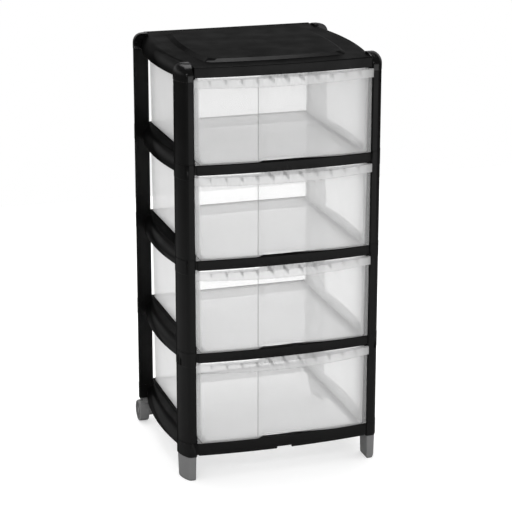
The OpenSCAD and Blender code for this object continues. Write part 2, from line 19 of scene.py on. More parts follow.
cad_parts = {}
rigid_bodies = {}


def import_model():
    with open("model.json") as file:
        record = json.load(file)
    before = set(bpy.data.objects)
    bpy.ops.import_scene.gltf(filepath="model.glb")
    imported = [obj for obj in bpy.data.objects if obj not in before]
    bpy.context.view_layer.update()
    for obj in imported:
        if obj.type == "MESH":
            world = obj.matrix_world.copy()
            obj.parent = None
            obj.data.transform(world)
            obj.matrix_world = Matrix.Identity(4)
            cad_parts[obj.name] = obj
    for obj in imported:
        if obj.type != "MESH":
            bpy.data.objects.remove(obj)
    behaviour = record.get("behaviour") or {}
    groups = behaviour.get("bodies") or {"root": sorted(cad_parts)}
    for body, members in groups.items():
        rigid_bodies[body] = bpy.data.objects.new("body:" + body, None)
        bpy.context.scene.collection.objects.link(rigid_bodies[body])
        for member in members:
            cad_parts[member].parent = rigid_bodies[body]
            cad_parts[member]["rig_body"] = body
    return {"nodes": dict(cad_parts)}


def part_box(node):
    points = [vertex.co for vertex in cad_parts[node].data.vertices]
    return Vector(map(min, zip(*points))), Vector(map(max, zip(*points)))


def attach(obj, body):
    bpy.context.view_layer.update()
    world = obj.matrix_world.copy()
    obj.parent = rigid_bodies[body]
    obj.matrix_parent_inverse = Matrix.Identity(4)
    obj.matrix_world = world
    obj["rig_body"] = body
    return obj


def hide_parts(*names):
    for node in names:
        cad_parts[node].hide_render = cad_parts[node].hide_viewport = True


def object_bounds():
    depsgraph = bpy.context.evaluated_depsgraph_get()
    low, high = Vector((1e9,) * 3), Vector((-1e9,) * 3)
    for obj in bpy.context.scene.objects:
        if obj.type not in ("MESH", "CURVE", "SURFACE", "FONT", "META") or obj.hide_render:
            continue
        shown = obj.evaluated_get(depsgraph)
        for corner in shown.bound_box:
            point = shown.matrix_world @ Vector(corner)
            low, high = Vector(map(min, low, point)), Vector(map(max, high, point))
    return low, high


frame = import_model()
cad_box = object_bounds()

log = logging.getLogger("storage_tower")

MM = 0.001
# Index of refraction of polypropylene
PLASTIC_IOR = 1.49
# Noise keeps near its middle, so the part of it between these ends is used as its whole range
NOISE_ENDS = (0.3, 0.7)
Point = tuple[float, float]
Place = tuple[float, float, float]
DRAWERS = 4


class Side(Enum):
    """Left or right half of the tower, as a sign along X."""

    LEFT = -1
    RIGHT = 1


# ---------------------------------------------------------------- materials


def linear(hex_code: str) -> tuple[float, float, float, float]:
    """Turns an sRGB hex colour into linear red, green, blue and alpha.

    Args:
        hex_code: six hex digits, such as "7f8081".

    Returns:
        The linear colour, with alpha 1.
    """
    parts = [int(hex_code[i : i + 2], 16) / 255 for i in (0, 2, 4)]
    red, green, blue = (p / 12.92 if p <= 0.04045 else ((p + 0.055) / 1.055) ** 2.4 for p in parts)
    return red, green, blue, 1.0


def put(
    tree: bpy.types.NodeTree,
    kind: str,
    inputs: dict[Any, Any] | None = None,
    **settings: Any,
) -> bpy.types.Node:
    """Adds a node with its settings, values and links.

    Args:
        tree: the node tree that gets the node.
        kind: the node's type, such as "ShaderNodeBump".
        inputs: socket name or number to a value, or to the socket that feeds it.
        **settings: attributes of the node itself.

    Returns:
        The new node.
    """
    node = tree.nodes.new(kind)
    for key, value in settings.items():
        setattr(node, key, value)
    for key, value in (inputs or {}).items():
        if isinstance(value, bpy.types.NodeSocket):
            tree.links.new(value, node.inputs[key])
        else:
            node.inputs[key].default_value = value
    return node


def new_material(name: str) -> tuple[bpy.types.Material, bpy.types.NodeTree]:
    """Starts a material with an empty node tree.

    Args:
        name: the material's name.

    Returns:
        The material and its tree.
    """
    material = bpy.data.materials.new(name)
    material.use_nodes = True
    material.node_tree.nodes.clear()
    return material, material.node_tree


def cloud(
    tree: bpy.types.NodeTree,
    place: bpy.types.NodeSocket,
    width_mm: float,
    middle: float,
    swing: float,
) -> bpy.types.NodeSocket:
    """Adds a value that wanders softly about its middle.

    Args:
        tree: the node tree to build in.
        place: the object coordinates.
        width_mm: how far one cloud reaches.
        middle: the value's middle.
        swing: how far it goes up and down from there.

    Returns:
        The socket that gives the value.
    """
    noise = put(
        tree, "ShaderNodeTexNoise",
        {"Vector": place, "Scale": 1 / (width_mm * MM), "Detail": 2.0},
    )
    low, high = NOISE_ENDS
    return put(
        tree, "ShaderNodeMapRange",
        {"Value": noise.outputs["Fac"], "From Min": low, "From Max": high,
         "To Min": middle - swing, "To Max": middle + swing},
    ).outputs["Result"]


@dataclass(frozen=True)
class MouldedPlastic:
    """Opaque injection-moulded polypropylene.

    Its mould is spark-eroded to a fine grain, which breaks the gloss up into a soft sheen.
    The specular level falls to `glance` between the two tilts of `fading`, the roughness goes
    up and down by `uneven` over `uneven_mm`, and sharp edges look rounded to `edge_mm`.
    """

    name: str
    colour: str
    roughness: float
    specular: float
    grain_mm: float
    grain_depth_mm: float
    glance: float
    fading: Point = (0.15, 0.7)
    uneven_mm: float = 45.0
    uneven: float = 0.05
    edge_mm: float = 1.0
    edge_samples: int = 6

    def build(self) -> bpy.types.Material:
        """Builds the material.

        Returns:
            The finished material.
        """
        material, tree = new_material(self.name)
        place = put(tree, "ShaderNodeTexCoord").outputs["Object"]
        # The plastic sinks a little behind thick spots, so its sheen wanders over centimetres
        sheen = cloud(tree, place, self.uneven_mm, self.roughness, self.uneven)
        grain = put(
            tree, "ShaderNodeTexNoise",
            {"Vector": place, "Scale": 1 / (self.grain_mm * MM), "Detail": 3.0, "Roughness": 0.6},
        )
        soft_edge = put(
            tree, "ShaderNodeBevel", {"Radius": self.edge_mm * MM}, samples=self.edge_samples)
        bump = put(
            tree, "ShaderNodeBump",
            {"Height": grain.outputs["Fac"], "Strength": 1.0,
             "Distance": self.grain_depth_mm * MM, "Normal": soft_edge.outputs["Normal"]},
        )
        # The grain shades itself at a glancing look, so the sheen fades there
        tilt = put(tree, "ShaderNodeLayerWeight", {"Blend": 0.5})
        gloss = put(
            tree, "ShaderNodeMapRange",
            {"Value": tilt.outputs["Facing"],
             "From Min": self.fading[0], "From Max": self.fading[1],
             "To Min": self.specular, "To Max": self.glance},
        )
        shader = put(
            tree, "ShaderNodeBsdfPrincipled",
            {"Base Color": linear(self.colour), "Roughness": sheen, "IOR": PLASTIC_IOR,
             "Specular IOR Level": gloss.outputs["Result"], "Normal": bump.outputs["Normal"]},
        )
        put(tree, "ShaderNodeOutputMaterial", {"Surface": shader.outputs["BSDF"]})
        return material


@dataclass(frozen=True)
class NaturalPlastic:
    """Uncoloured polypropylene, a milky sheet that lets light through.

    A polished mould leaves it nearly clear, a grained one frosts it. `clearness` is the share
    that goes straight through a wall, and `glow` is the share of the rest that it scatters on.
    """

    name: str
    colour: str
    clearness: float
    glow: float
    roughness: float
    specular: float = 0.4
    tint: str = "fdfdfd"
    uneven_mm: float = 60.0
    uneven: float = 0.01

    def build(self) -> bpy.types.Material:
        """Builds the material.

        Returns:
            The finished material.
        """
        material, tree = new_material(self.name)
        place = put(tree, "ShaderNodeTexCoord").outputs["Object"]
        # A wall has two surfaces, and what goes straight through it passes both
        surface = math.sqrt(self.clearness)
        # The melt's flow leaves faint clouds of milkiness, as wide as three fingers
        clear = cloud(tree, place, self.uneven_mm, surface, self.uneven)
        skin = put(
            tree, "ShaderNodeBsdfPrincipled",
            {"Base Color": linear(self.colour), "Roughness": self.roughness, "IOR": PLASTIC_IOR,
             "Specular IOR Level": self.specular},
        )
        through = put(tree, "ShaderNodeBsdfTranslucent", {"Color": linear(self.colour)})
        milk = put(
            tree, "ShaderNodeMixShader",
            {0: self.glow, 1: skin.outputs["BSDF"], 2: through.outputs["BSDF"]},
        )
        straight = put(tree, "ShaderNodeBsdfTransparent", {"Color": linear(self.tint)})
        sheet = put(
            tree, "ShaderNodeMixShader", {0: clear, 1: milk.outputs[0], 2: straight.outputs[0]})
        put(tree, "ShaderNodeOutputMaterial", {"Surface": sheet.outputs[0]})
        return material


# Frame and top: black from a finely grained mould
SATIN_BLACK = MouldedPlastic(
    "Polypropylene_black_satin", "090909", roughness=0.33, specular=0.16,
    grain_mm=1.1, grain_depth_mm=0.008, glance=0.0015, edge_mm=1.3,
)
# Corner caps: black from a polished mould
POLISHED_BLACK = MouldedPlastic(
    "Polypropylene_black_polished", "080808", roughness=0.24, specular=0.3,
    grain_mm=1.6, grain_depth_mm=0.003, glance=0.02, uneven=0.03,
)
# Feet and castors: grey from a grained mould
GREY = MouldedPlastic(
    "Polypropylene_grey_satin", "707070", roughness=0.4, specular=0.35,
    grain_mm=1.1, grain_depth_mm=0.012, glance=0.1,
)
# The drawers' fronts and rear walls: a polished mould leaves them nearly clear
CLEAR_FRONT = NaturalPlastic(
    "Polypropylene_natural_polished", "fafafa", clearness=0.66, glow=0.4, roughness=0.22,
)
# The drawers' sides and floors: a grained mould frosts them
FROSTED_WALL = NaturalPlastic(
    "Polypropylene_natural_frosted", "fafafa", clearness=0.2, glow=0.5, roughness=0.45,
)
# Ribs and the crease bead: greyer than the walls, partly because the thick plastic is seen edge-on
# and partly as painted shade along the ribs and the crease
THICK_EDGE_AND_SHADE = NaturalPlastic(
    "Polypropylene_natural_edge_on", "a4a4a4", clearness=0.05, glow=0.5, roughness=0.3,
)
# The lip's front: clear, but with its own back, ribs and shelf close behind it
CLEAR_LIP = NaturalPlastic(
    "Polypropylene_natural_lip", "f0f0f0", clearness=0.42, glow=0.45, roughness=0.25,
)
# The lip's shelf and the rims at the front: greyer, as painted shade under the overhanging fascia
SHADED_LIP_SHELF = NaturalPlastic(
    "Polypropylene_natural_shelf", "d0d0d0", clearness=0.3, glow=0.5, roughness=0.3,
)


class Palette:
    """Builds each finish once."""

    def __init__(self) -> None:
        """Starts with nothing built."""
        self._made: dict[str, bpy.types.Material] = {}

    def get(self, finish: MouldedPlastic | NaturalPlastic) -> bpy.types.Material:
        """Gives the material of a finish.

        Args:
            finish: the finish that is wanted.

        Returns:
            Its material, the same one every time.
        """
        if finish.name not in self._made:
            self._made[finish.name] = finish.build()
        return self._made[finish.name]


# ---------------------------------------------------------------- mesh tools


def new_object(name: str, bm: bmesh.types.BMesh) -> bpy.types.Object:
    """Turns a bmesh into an object of the scene, at the origin.

    Args:
        name: the piece's name.
        bm: the mesh data, freed here.

    Returns:
        The new object.
    """
    mesh = bpy.data.meshes.new(name)
    bm.to_mesh(mesh)
    bm.free()
    piece = bpy.data.objects.new(name, mesh)
    bpy.context.scene.collection.objects.link(piece)
    return piece


def smooth_by_angle(piece: bpy.types.Object, degrees: float) -> None:
    """Shades a piece smooth, with sharp edges where it turns by more than an angle.

    Args:
        piece: the piece.
        degrees: the angle.
    """
    piece.data.shade_smooth()
    piece.data.set_sharp_from_angle(angle=math.radians(degrees))


def prism(outline: Sequence[Point], low: float, high: float) -> bmesh.types.BMesh:
    """Raises a flat outline into a closed block.

    Args:
        outline: corners in X and Y, in order.
        low: Z of its underside.
        high: Z of its top.

    Returns:
        The block.
    """
    return loft([[(x, y, z) for x, y in outline] for z in (low, high)])


def loft(rings: Sequence[Sequence[Sequence[float]]]) -> bmesh.types.BMesh:
    """Joins closed rings of the same length into a closed block.

    Args:
        rings: rings of points, from the lowest to the highest.

    Returns:
        The block, with a flat face on its first and last ring.
    """
    bm = bmesh.new()
    made = [[bm.verts.new(p) for p in ring] for ring in rings]
    for below, above in zip(made, made[1:]):
        for i, corner in enumerate(below):
            after = (i + 1) % len(below)
            bm.faces.new((corner, below[after], above[after], above[i]))
    bm.faces.new(list(reversed(made[0])))
    bm.faces.new(made[-1])
    bmesh.ops.recalc_face_normals(bm, faces=bm.faces)
    return bm


def combine(
    name: str, base: bmesh.types.BMesh, steps: Iterable[tuple[str, bmesh.types.BMesh]],
) -> bpy.types.Object:
    """Adds, cuts or keeps common solids in turn, into one clean solid.

    Args:
        name: the piece's name.
        base: the first solid.
        steps: pairs of "UNION", "DIFFERENCE" or "INTERSECT" and a solid.

    Returns:
        The finished object.
    """
    piece = new_object(name, base)
    for action, solid in steps:
        tool = new_object("tool", solid)
        cutter = piece.modifiers.new("cut", "BOOLEAN")
        cutter.operation, cutter.solver, cutter.object = action, "EXACT", tool
        bake(piece)
        bpy.data.objects.remove(tool)
    return piece


def bake(piece: bpy.types.Object) -> None:
    """Replaces a piece's mesh with what its modifiers give, and clears them.

    Args:
        piece: the piece.
    """
    graph = bpy.context.evaluated_depsgraph_get()
    made = bpy.data.meshes.new_from_object(piece.evaluated_get(graph))
    piece.modifiers.clear()
    old, piece.data = piece.data, made
    bpy.data.meshes.remove(old)


def seat(piece: bpy.types.Object, body: str, slot: str, *nodes: str) -> None:
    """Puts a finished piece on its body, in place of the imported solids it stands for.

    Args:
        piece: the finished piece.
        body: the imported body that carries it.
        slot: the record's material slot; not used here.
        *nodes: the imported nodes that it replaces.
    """
    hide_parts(*nodes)
    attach(piece, body)
    log.info("%s: %d faces, on %s", piece.name, len(piece.data.polygons), body)


# ---------------------------------------------------------------- the frame's mouldings


@dataclass
class Mouldings:
    """The black and grey mouldings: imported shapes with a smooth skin.

    Corners closer than `weld` become one, and faces that lie flatter than `flat` degrees are
    joined. Edges stay sharp from `crease` degrees, and on the top panel from `panel_crease`,
    which keeps the raised plateau's bevel in view.
    """

    palette: Palette
    weld: float = 0.002 * MM
    flat: float = 0.2
    crease: float = 50.0
    panel_crease: float = 10.0

    def dress(self, node: str, finish: MouldedPlastic, slot: str, crease: float) -> None:
        """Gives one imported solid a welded, smoothly shaded skin.

        Args:
            node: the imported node.
            finish: its finish.
            slot: the record's material slot.
            crease: angle in degrees from which an edge stays sharp.
        """
        solid = frame["nodes"][node]
        bm = bmesh.new()
        bm.from_mesh(solid.data)
        bmesh.ops.remove_doubles(bm, verts=bm.verts, dist=self.weld)
        bmesh.ops.dissolve_degenerate(bm, edges=bm.edges, dist=self.weld)
        bmesh.ops.dissolve_limit(
            bm, angle_limit=math.radians(self.flat), verts=bm.verts, edges=bm.edges)
        piece = new_object(f"{node}_moulding", bm)
        piece.data.materials.clear()
        piece.data.materials.append(self.palette.get(finish))
        smooth_by_angle(piece, crease)
        piece.modifiers.new("normals", "WEIGHTED_NORMAL").keep_sharp = True
        bake(piece)
        seat(piece, solid["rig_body"], slot, node)

    def dress_all(self) -> None:
        """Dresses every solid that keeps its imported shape."""
        for node in sorted(frame["nodes"]):
            if node.startswith("corner_cap"):
                self.dress(node, POLISHED_BLACK, "gloss_black_plastic", self.crease)
            elif node.startswith(("front_foot", "castor_bracket", "castor_axle")):
                self.dress(node, GREY, "grey_plastic", self.crease)
            elif node.startswith(("post", "shelf_frame", "base_frame")):
                self.dress(node, SATIN_BLACK, "black_plastic", self.crease)
            elif node.startswith("top_panel"):
                self.dress(node, SATIN_BLACK, "black_plastic", self.panel_crease)


# ---------------------------------------------------------------- drawers


def arc_rise(x: float, half: float, rise: float) -> float:
    """Rise of an arc above its chord, at a distance x from its middle."""
    radius = (half * half + rise * rise) / (2 * rise)
    return math.sqrt(radius * radius - x * x) - radius + rise


class DrawerSkin(Enum):
    """The plastics that a drawer shows, in the order of its material slots."""

    WALL = FROSTED_WALL
    CLEAR = CLEAR_FRONT
    LIP = CLEAR_LIP
    # EDGE: ribs and bead, whose grey is partly painted shade
    EDGE = THICK_EDGE_AND_SHADE
    # SHELF: top faces at the front, greyed as painted shade
    SHELF = SHADED_LIP_SHELF


@dataclass
class Drawer:
    """A frosted drawer: box, stepped front panel, handle lip, gusset ribs and stop tabs."""

    palette: Palette
    number: int
    # The opening it stands in, and the front rail under it
    half_open: float = 170 * MM
    front_y: float = -168.2 * MM
    rear_y: float = 197.8 * MM
    tier_pitch: float = 180 * MM
    rail_top: float = 26.3 * MM
    rail_bow: float = 10.7 * MM
    # Room round it: under the floor, at the front's ends, beside the box and behind it
    floor_gap: float = 0.3 * MM
    front_gap: float = 1.2 * MM
    side_gap: float = 8.5 * MM
    back_gap: float = 18 * MM
    # The box, which leans out towards its rim
    rim_rise: float = 4.7 * MM
    wall: float = 2 * MM
    side_draft: float = 1.5 * MM
    back_draft: float = 3 * MM
    corner_r: float = 5 * MM
    least_r: float = 1 * MM
    corner_steps: int = 10
    chamfer: float = 4 * MM
    chamfer_soft: float = 1.2 * MM
    soft_share: float = 0.3
    rim_w: float = 1.5 * MM
    # The front panel, with its hollow between the crease and the place where it runs out
    panel: float = 2.4 * MM
    front_set: float = 1 * MM
    hollow: float = 15 * MM
    crease_x: float = -52 * MM
    step_w: float = 26 * MM
    hollow_end: float = 112 * MM
    left_columns: int = 24
    right_columns: int = 76
    # The handle lip, which reaches past the opening at both ends, and its ribs
    lip_out: float = 30 * MM
    lip_over: float = 1 * MM
    lip_gap: float = 0.6 * MM
    lip_h: float = 15.5 * MM
    lip_t: float = 2 * MM
    ribs: int = 11
    rib_h: float = 8 * MM
    rib_t: float = 1.5 * MM
    # The stop tabs, and the bead behind the crease
    stop_x: float = 105 * MM
    stop_w: float = 16 * MM
    stop_h: float = 5.5 * MM
    bead_w: float = 2 * MM
    bead_d: float = 1.6 * MM
    bead_root: float = 0.8 * MM
    bead_taper: float = 0.6
    # How far a cutting solid reaches past what it cuts, at its sides and on top
    over: float = 1 * MM
    headroom: float = 5 * MM
    # How far back the front's own plastics reach, and the angle that keeps an edge sharp
    front_zone: float = 20 * MM
    crease: float = 24.0

    def __post_init__(self) -> None:
        """Works out the drawer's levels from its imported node."""
        low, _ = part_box(f"drawer_{self.number}")
        self.low = low.z
        self.high = self.low - self.rail_top - self.floor_gap + self.tier_pitch + self.rim_rise
        self.box_half = self.half_open - self.side_gap
        self.front_half = self.half_open - self.front_gap
        self.lip_half = self.half_open + self.lip_over
        self.lip_end = self.lip_t + self.lip_gap
        self.start = self.front_y - self.rail_bow - self.over
        self.back = self.rear_y - self.back_gap

    def hollow_at(self, x: float) -> float:
        """Gives the depth of the front's hollow: sharp at the crease, smooth where it runs out.

        Args:
            x: place across the front.

        Returns:
            The depth there.
        """
        deepest = self.crease_x + self.step_w
        if x <= self.crease_x or x >= self.hollow_end:
            return 0.0
        if x < deepest:
            return self.hollow * math.sin(math.pi / 2 * (x - self.crease_x) / self.step_w)
        run_out = (x - deepest) / (self.hollow_end - deepest)
        return self.hollow * math.cos(math.pi / 2 * run_out) ** 2

    def front_at(self, x: float) -> float:
        """Y of the front panel's outer face."""
        bow = arc_rise(x, self.half_open, self.rail_bow)
        return self.front_y + self.front_set - bow + self.hollow_at(x)

    def lip_at(self, x: float) -> float:
        """Y of the lip's outer face."""
        bow = arc_rise(x, self.lip_half, self.lip_out - self.lip_end)
        return self.front_y - self.lip_end - bow

    def columns(self) -> list[float]:
        """Gives places across the front, with one on the crease.

        Returns:
            Their X, from left to right.
        """
        few, many = self.left_columns, self.right_columns
        left = [-self.front_half + i * (self.front_half + self.crease_x) / few for i in range(few)]
        right = [
            self.crease_x + i * (self.front_half - self.crease_x) / many for i in range(many + 1)]
        return left + right

    def strip(
        self, line: Callable[[float], float], near: float, far: float, grow: float = 1.0,
    ) -> list[Point]:
        """Outline of a strip that follows a line across the front.

        Args:
            line: gives Y at X.
            near: how far the strip's front lies behind the line.
            far: how far its back lies behind the line.
            grow: widening of the strip about the middle.

        Returns:
            The outline in X and Y.
        """
        xs = [x * grow for x in self.columns()]
        return [(x, line(x) + near) for x in xs] + [(x, line(x) + far) for x in reversed(xs)]

    def plan(self, half: float, back: float, radius: float) -> list[Point]:
        """Draws the plan of the box: straight sides and rounded back corners.

        Args:
            half: half its width.
            back: Y of its back.
            radius: radius of the back corners.

        Returns:
            The outline in X and Y.
        """
        steps = self.corner_steps
        turn = [math.pi / 2 * i / steps for i in range(steps + 1)]
        right = [
            (half - radius * (1 - math.cos(a)), back - radius * (1 - math.sin(a))) for a in turn]
        left = [(-x, y) for x, y in reversed(right)]
        return [(-half, self.start), (half, self.start)] + right + left

    def block(self, inset: float, top: float) -> bmesh.types.BMesh:
        """Solid block of the box, drawn in from its outer faces.

        Args:
            inset: how far it is drawn in.
            top: Z of its top.

        Returns:
            The block.
        """
        edge = self.chamfer + inset * (math.sqrt(2) - 1)
        soft, dip = self.chamfer_soft, self.chamfer_soft * self.soft_share
        # Chamfer from the floor to the wall, with softened ends: draw-in and height
        profile = [
            (edge, inset), (edge - soft, inset + dip), (inset + dip, edge - soft), (inset, edge)]
        back = self.back - self.back_draft
        rings = []
        for draw_in, height in profile:
            radius = max(self.corner_r - draw_in, self.least_r)
            outline = self.plan(self.box_half - draw_in, back - draw_in, radius)
            rings.append([(x, y, self.low + height) for x, y in outline])
        outline = self.plan(
            self.box_half + self.side_draft - inset, self.back - inset, self.corner_r - inset)
        rings.append([(x, y, self.high) for x, y in outline])
        if top > self.high:
            rings.append([(x, y, top) for x, y, _ in rings[-1]])
        return loft(rings)

    def rim(self) -> bmesh.types.BMesh:
        """Builds the rolled rim round the box, with a rounded edge.

        Returns:
            A solid block in the rim's outline.
        """
        rings = []
        # Shares of the rim's width and of its depth, from its foot to its top
        for out, drop in ((0.4, 1.0), (0.85, 0.85), (1.0, 0.5), (0.85, 0.15), (0.5, 0.0)):
            outline = self.plan(
                self.box_half + self.side_draft + self.rim_w * out,
                self.back + self.rim_w * out, self.corner_r + self.rim_w)
            rings.append([(x, y, self.high - self.lip_t * drop) for x, y in outline])
        return loft(rings)

    def gussets(self) -> bmesh.types.BMesh:
        """Gusset ribs behind the lip, made by geometry nodes.

        Returns:
            The ribs, as one mesh of closed blocks.
        """
        bm = bmesh.new()
        reach = bm.verts.layers.float.new("reach")
        for i in range(1, self.ribs + 1):
            x = self.lip_half * (2 * i / (self.ribs + 1) - 1)
            front, back = self.lip_at(x) + self.lip_t / 2, self.front_at(x) + self.panel / 2
            middle = self.high - self.lip_t / 2 - self.rib_h / 2
            spot = bm.verts.new((x, (front + back) / 2, middle))
            spot[reach] = back - front
        spots = new_object("rib_spots", bm)
        # The ribs get the greyer edge plastic, whose grey is partly painted shade
        tree, sockets = rib_tree(self.palette.get(THICK_EDGE_AND_SHADE))
        maker = spots.modifiers.new("ribs", "NODES")
        maker.node_group = tree
        maker[sockets["Thickness"]] = self.rib_t
        maker[sockets["Height"]] = self.rib_h
        bake(spots)
        made = bmesh.new()
        made.from_mesh(spots.data)
        bpy.data.objects.remove(spots)
        return made

    def bead(self) -> bmesh.types.BMesh:
        """Builds the slim upright bead that stiffens the crease, on the front's inner face.

        Returns:
            The bead.
        """
        inner = self.front_at(self.crease_x) + self.panel
        half, root, tip = self.bead_w / 2, inner - self.bead_root, inner + self.bead_d
        slim = half * self.bead_taper
        return prism(
            [(self.crease_x - half, root), (self.crease_x + half, root + half),
             (self.crease_x + slim, tip), (self.crease_x - slim, tip)],
            self.low + self.wall / 2, self.high - self.lip_t)

    def tabs(self) -> list[bmesh.types.BMesh]:
        """Builds the stop tabs on the back wall.

        Returns:
            The two tabs.
        """
        inner, made = self.back - self.wall, []
        for side in Side:
            middle = side.value * self.stop_x
            left, right = middle - self.stop_w / 2, middle + self.stop_w / 2
            made.append(prism(
                [(left, inner), (right, inner), (right, self.back), (left, self.back)],
                self.high - self.lip_t, self.high + self.stop_h))
        return made

    def build(self) -> None:
        """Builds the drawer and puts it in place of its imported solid."""
        inside = self.strip(self.front_at, self.panel / 2, self.panel)
        front_edge = inside[: len(inside) // 2]
        cut = front_edge + [(self.front_half, self.rear_y), (-self.front_half, self.rear_y)]
        grow = self.lip_half / self.front_half
        lip = self.strip(self.lip_at, 0.0, self.lip_t, grow)
        columns = self.columns()
        shelf = [(x * grow, self.lip_at(x * grow) + self.lip_t / 2) for x in columns]
        shelf += [(x, self.front_at(x) + self.panel / 2) for x in reversed(columns)]
        steps = [
            ("UNION", self.rim()),
            ("DIFFERENCE", self.block(self.wall, self.high + self.headroom)),
            ("INTERSECT", prism(cut, self.low - self.over, self.high + self.over)),
            ("UNION", prism(self.strip(self.front_at, 0.0, self.panel), self.low, self.high)),
            ("UNION", prism(shelf, self.high - self.lip_t, self.high)),
            ("UNION", prism(lip, self.high - self.lip_h, self.high)),
            ("UNION", self.gussets()),
            ("UNION", self.bead()),
            *(("UNION", tab) for tab in self.tabs()),
        ]
        piece = combine(f"drawer_{self.number}_frosted", self.block(0.0, self.high), steps)
        self.finish(piece)
        seat(piece, f"drawer_{self.number}", "frosted_plastic", f"drawer_{self.number}")

    def finish(self, piece: bpy.types.Object) -> None:
        """Gives each face of the drawer the plastic that it shows by its place.

        Args:
            piece: the drawer.
        """
        skins = list(DrawerSkin)
        piece.data.materials.clear()
        for skin in skins:
            piece.data.materials.append(self.palette.get(skin.value))
        for face in piece.data.polygons:
            face.material_index = skins.index(self.skin_at(face.center))
        smooth_by_angle(piece, self.crease)

    def skin_at(self, spot: Vector) -> DrawerSkin:
        """Chooses the plastic at a spot of the drawer.

        Args:
            spot: the middle of a face.

        Returns:
            The plastic.
        """
        hair = 0.2 * MM
        x, y, z = spot
        below_rim = z < self.high - self.lip_t - hair
        if y > self.back - self.back_draft - self.wall - hair and below_rim:
            return DrawerSkin.CLEAR
        if y > self.front_y + self.front_zone:
            return DrawerSkin.WALL
        # Top faces at the front get the shelf plastic, greyed as painted shade under the fascia
        if z > self.high - hair:
            return DrawerSkin.SHELF
        if y < self.lip_at(x) + self.lip_t + hair:
            return DrawerSkin.LIP
        behind = y - self.front_at(max(-self.front_half, min(self.front_half, x)))
        # Below the rim, faces in front of the panel are ribs, greyed with the edge plastic's
        # painted shade
        if behind < -hair:
            return DrawerSkin.EDGE if below_rim else DrawerSkin.LIP
        if behind < self.panel + hair:
            on_panel = z < self.high - self.lip_t / 2 and abs(x) < self.front_half + hair
            return DrawerSkin.CLEAR if on_panel else DrawerSkin.WALL
        # The crease bead gets the edge plastic too, a line of painted shade along the crease
        on_bead = abs(x - self.crease_x) < self.bead_w and behind < self.panel + 2 * self.bead_d
        return DrawerSkin.EDGE if on_bead else DrawerSkin.WALL


def rib_tree(material: bpy.types.Material) -> tuple[bpy.types.NodeTree, dict[str, str]]:
    """Builds the geometry nodes that stand a thin block on each spot.

    Args:
        material: the ribs' material.

    Returns:
        The tree, and each input's identifier by its name.
    """
    tree = bpy.data.node_groups.new("gusset_ribs", "GeometryNodeTree")
    tree.interface.new_socket("Spots", in_out="INPUT", socket_type="NodeSocketGeometry")
    names = {}
    for name in ("Thickness", "Height"):
        socket = tree.interface.new_socket(name, in_out="INPUT", socket_type="NodeSocketFloat")
        names[name] = socket.identifier
    tree.interface.new_socket("Ribs", in_out="OUTPUT", socket_type="NodeSocketGeometry")
    given = put(tree, "NodeGroupInput")
    reach = put(tree, "GeometryNodeInputNamedAttribute", {"Name": "reach"}, data_type="FLOAT")
    size = put(
        tree, "ShaderNodeCombineXYZ",
        {"X": given.outputs["Thickness"], "Y": reach.outputs["Attribute"],
         "Z": given.outputs["Height"]},
    )
    block = put(tree, "GeometryNodeMeshCube")
    stand = put(
        tree, "GeometryNodeInstanceOnPoints",
        {"Points": given.outputs["Spots"], "Instance": block.outputs["Mesh"],
         "Scale": size.outputs[0]},
    )
    real = put(tree, "GeometryNodeRealizeInstances", {0: stand.outputs[0]})
    dressed = put(
        tree, "GeometryNodeSetMaterial", {"Geometry": real.outputs[0], "Material": material})
    put(tree, "NodeGroupOutput", {0: dressed.outputs[0]})
    return tree, names


# ---------------------------------------------------------------- castors


